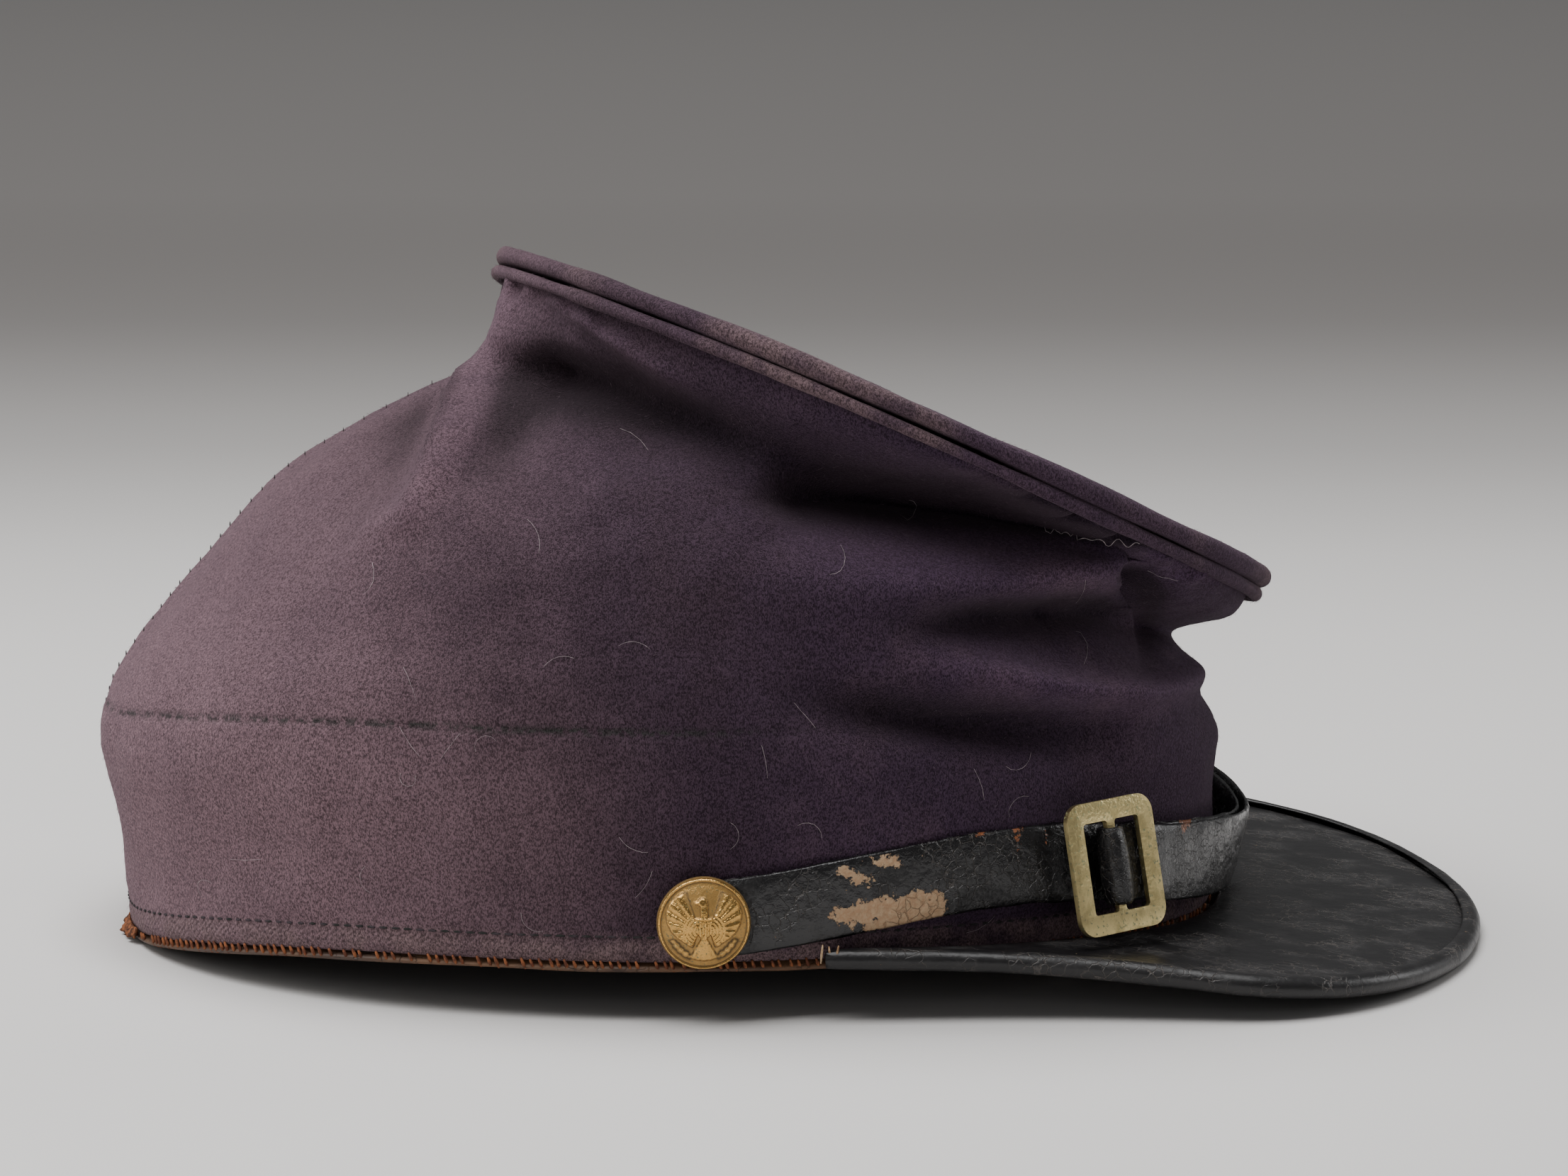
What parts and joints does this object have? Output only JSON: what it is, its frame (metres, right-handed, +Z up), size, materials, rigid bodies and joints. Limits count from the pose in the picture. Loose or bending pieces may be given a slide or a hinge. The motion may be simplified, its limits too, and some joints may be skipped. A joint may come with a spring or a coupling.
{
  "type": "soft wool forage cap",
  "caption": "Soft wool military-style cap with a fallen-forward crown, round flat top, leather visor and buckled chin strap.",
  "frame": {"origin": "on the resting surface, under the middle of the whole cap's box", "axes": "+X to the front (the visor), +Y to the wearer's left, +Z up"},
  "size_m": [0.2318, 0.1628, 0.1169],
  "materials": {
    "wool": "faded napped wool cloth",
    "black_leather": "aged glossy black leather",
    "brown_leather": "dry rust-brown leather",
    "brass": "patinated stamped brass",
    "gilt": "worn gilding"
  },
  "bodies": {
    "root": {"crown_body": "wool", "crown_disc": "wool", "disc_welt": "wool", "sweatband": "brown_leather", "visor": "black_leather", "visor_binding": "black_leather", "strap_right": "black_leather", "strap_left": "black_leather", "strap_buckle": "brass", "button_right": "gilt", "button_left": "gilt"}
  },
  "joints": []
}
